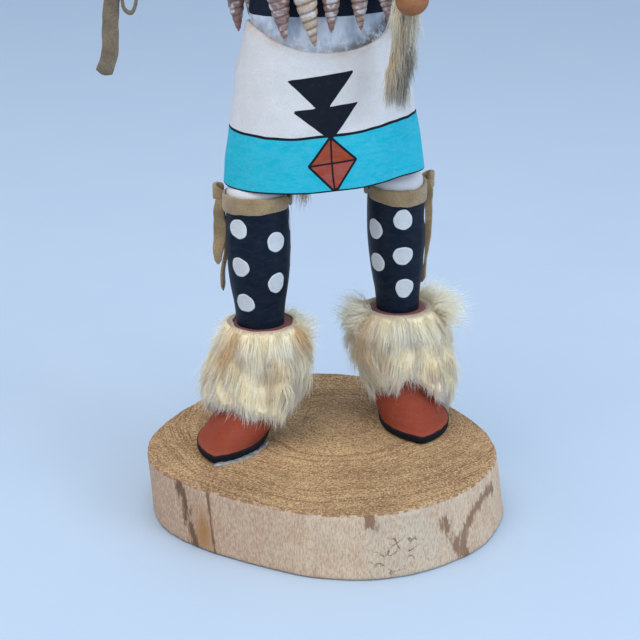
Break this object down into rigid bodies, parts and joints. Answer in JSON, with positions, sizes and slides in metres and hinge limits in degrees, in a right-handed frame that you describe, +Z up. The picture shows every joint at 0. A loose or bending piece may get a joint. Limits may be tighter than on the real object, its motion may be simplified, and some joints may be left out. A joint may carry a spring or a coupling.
{
  "type": "kachina doll",
  "caption": "Carved and painted standing doll in a kilt, with fur-wrapped boots, spotted legs, suede garters and a shell belt, fixed on a round slice of branch",
  "frame": {"origin": "the middle of the slice's flat underside", "axes": "+Z up; the doll stands on the slice facing -Y, turned 12 degrees towards +X; -X is its right hand side"},
  "size_m": [0.1636, 0.1443, 0.308],
  "materials": {
    "raw_wood": "raw sawn end grain on top, pale debarked wood on the side",
    "painted_figure": "matt paint: off-white kilt with a turquoise band, navy-black legs with white spots, rust-red boots",
    "painted_arm": "matt navy-black paint with white spots, rust-red hands",
    "painted_mask": "matt turquoise paint with plain black and white marks",
    "rabbit_fur": "cream rabbit fur with golden tan patches",
    "tan_suede": "napped tan suede",
    "grey_suede": "napped grey-brown suede",
    "dark_leather": "dark brown thong",
    "sea_shell": "banded cream, mauve and brown, softly glossy"
  },
  "bodies": {
    "root": {"base_slice": "raw_wood", "figure": "painted_figure", "right_arm": "painted_arm", "left_arm": "painted_arm", "head": "painted_mask", "neck_ruff": "rabbit_fur", "right_fur_cuff": "rabbit_fur", "left_fur_cuff": "rabbit_fur", "right_garter": "tan_suede", "left_garter": "tan_suede", "belt_thong": "dark_leather", "shell_01": "sea_shell", "shell_02": "sea_shell", "shell_03": "sea_shell", "shell_04": "sea_shell", "shell_05": "sea_shell", "shell_06": "sea_shell", "shell_07": "sea_shell", "shell_08": "sea_shell", "shell_09": "sea_shell", "shell_10": "sea_shell", "wrist_tie": "grey_suede", "wrist_fur": "rabbit_fur", "back_pelt": "rabbit_fur"}
  },
  "joints": []
}
